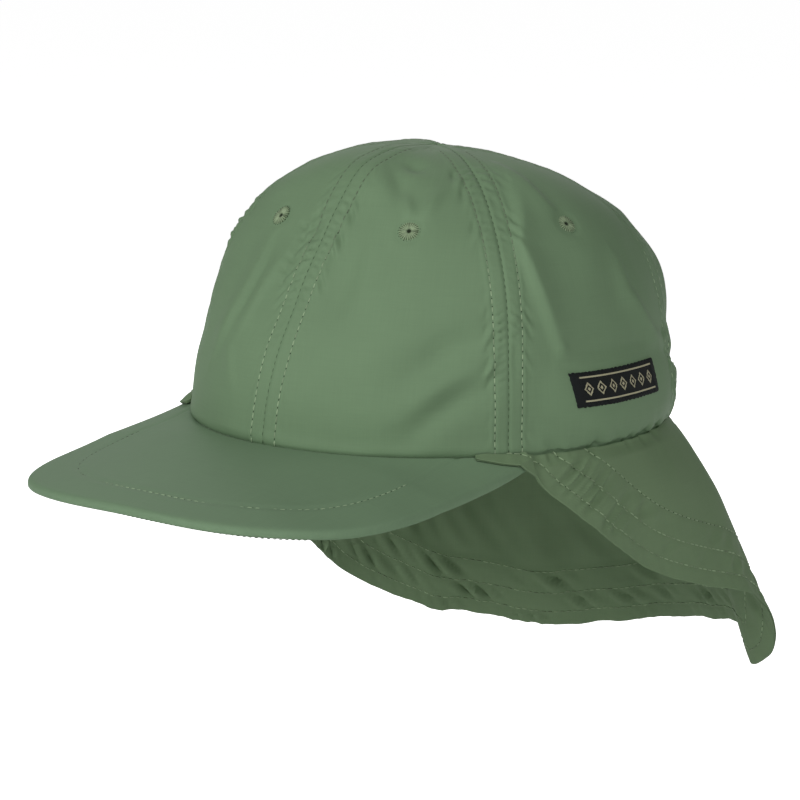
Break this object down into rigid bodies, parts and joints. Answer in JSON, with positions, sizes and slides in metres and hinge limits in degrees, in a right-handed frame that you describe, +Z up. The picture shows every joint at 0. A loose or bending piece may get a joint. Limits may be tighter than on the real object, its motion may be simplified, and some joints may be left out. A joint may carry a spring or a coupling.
{
  "type": "legionnaire cap",
  "caption": "Soft panelled sun cap with a stiff curved peak in front, stitched eyelets, a small side label and a draped cloth flap that shades the neck",
  "frame": {"origin": "centre of the head opening in the plane of the rim seam, where the cap sits on a head", "axes": "+Z up, -Y forward out of the peak, +X to the wearer's left"},
  "size_m": [0.2032, 0.3026, 0.2176],
  "materials": {
    "crown_cloth": "sage green brushed nylon, fine weave, soft sheen",
    "peak_cloth": "sage green brushed nylon stretched over a stiff peak",
    "flap_cloth": "sage green brushed nylon, soft and draped",
    "eyelet_thread": "light green embroidery thread",
    "label_weave": "black woven ribbon with a cream pattern"
  },
  "bodies": {
    "root": {"crown_panel_front_left": "crown_cloth", "eyelet_front_left": "eyelet_thread", "crown_panel_side_left": "crown_cloth", "eyelet_side_left": "eyelet_thread", "crown_panel_back_left": "crown_cloth", "eyelet_back_left": "eyelet_thread", "crown_panel_back_right": "crown_cloth", "eyelet_back_right": "eyelet_thread", "crown_panel_side_right": "crown_cloth", "eyelet_side_right": "eyelet_thread", "crown_panel_front_right": "crown_cloth", "eyelet_front_right": "eyelet_thread", "label": "label_weave", "peak_top_cover": "peak_cloth", "peak_under_cover": "peak_cloth", "neck_flap": "flap_cloth"}
  },
  "joints": []
}
